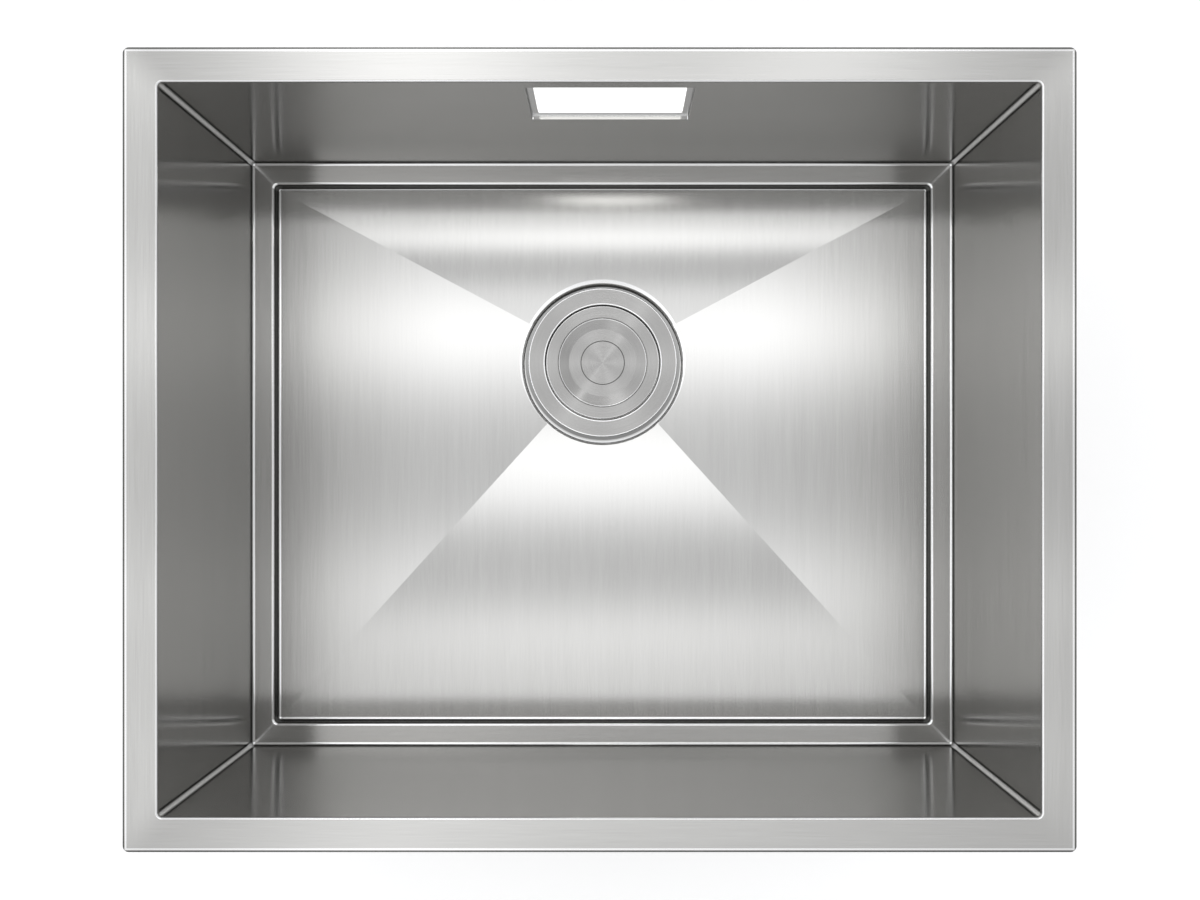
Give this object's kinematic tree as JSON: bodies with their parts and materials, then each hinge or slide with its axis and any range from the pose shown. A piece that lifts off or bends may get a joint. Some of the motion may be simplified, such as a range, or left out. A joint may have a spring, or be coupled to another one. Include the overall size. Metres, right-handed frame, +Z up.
{
  "type": "undermount kitchen sink",
  "caption": "Rectangular undermount kitchen sink in brushed steel with a stepped, creased floor, a rear overflow and a basket waste whose lid pops up.",
  "frame": {"origin": "centre of the rim's top plane, which is pressed up against the underside of the worktop", "axes": "+X along the long side to the right, +Y to the back where the overflow is, +Z up"},
  "size_m": [0.55, 0.4699, 0.3084],
  "materials": {
    "brushed_steel": "satin brushed stainless steel, grain along each strip",
    "spun_steel": "stainless steel with a round spun grain",
    "pressed_steel": "plain pressed stainless steel",
    "plated_steel": "bright fasteners",
    "spring_steel": "drawn spring wire",
    "brass": "turned",
    "seal_rubber": "soft black rubber",
    "pad_rubber": "matt dark grey sound pad",
    "white_plastic": "moulded white polypropylene",
    "milky_plastic": "moulded milky white plastic",
    "hose_plastic": "ribbed light grey hose"
  },
  "bodies": {
    "sink": {"bowl": "brushed_steel", "left_pad": "pad_rubber", "right_pad": "pad_rubber", "front_pad": "pad_rubber", "back_left_pad": "pad_rubber", "back_right_pad": "pad_rubber", "floor_front_pad": "pad_rubber", "floor_left_pad": "pad_rubber", "floor_right_pad": "pad_rubber", "flange_seal": "seal_rubber", "strainer_cup": "spun_steel", "waste_gasket": "seal_rubber", "waste_body": "white_plastic", "outlet_tail": "white_plastic", "fixing_screw": "plated_steel", "captive_nut": "brass", "overflow_gasket": "seal_rubber", "overflow_collector": "milky_plastic", "overflow_studs": "plated_steel", "overflow_nuts": "plated_steel", "overflow_hose": "hose_plastic", "hose_clips": "plated_steel"},
    "basket": {"basket": "pressed_steel", "guide_tube": "plated_steel", "basket_seal": "seal_rubber", "latch_sleeve": "white_plastic", "lift_spring": "spring_steel"},
    "plug": {"lid": "spun_steel", "lid_seal": "seal_rubber", "button_housing": "pressed_steel", "lid_stem": "plated_steel", "button_spring": "spring_steel"},
    "button": {"press_button": "spun_steel"}
  },
  "joints": [
    {"name": "basket_lift", "type": "slide", "parent": "sink", "child": "basket", "axis": [0, 0, 1], "range_m": [0, 0.12]},
    {"name": "lid_rise", "type": "slide", "parent": "basket", "child": "plug", "axis": [0, 0, 1], "range_m": [0, 0.008], "deforming": ["lift_spring"]},
    {"name": "button_press", "type": "slide", "parent": "plug", "child": "button", "axis": [0, 0, 1], "range_m": [-0.002, 0], "stiffness_N_per_m": 400, "springref_m": 0.003, "deforming": ["button_spring"]}
  ]
}
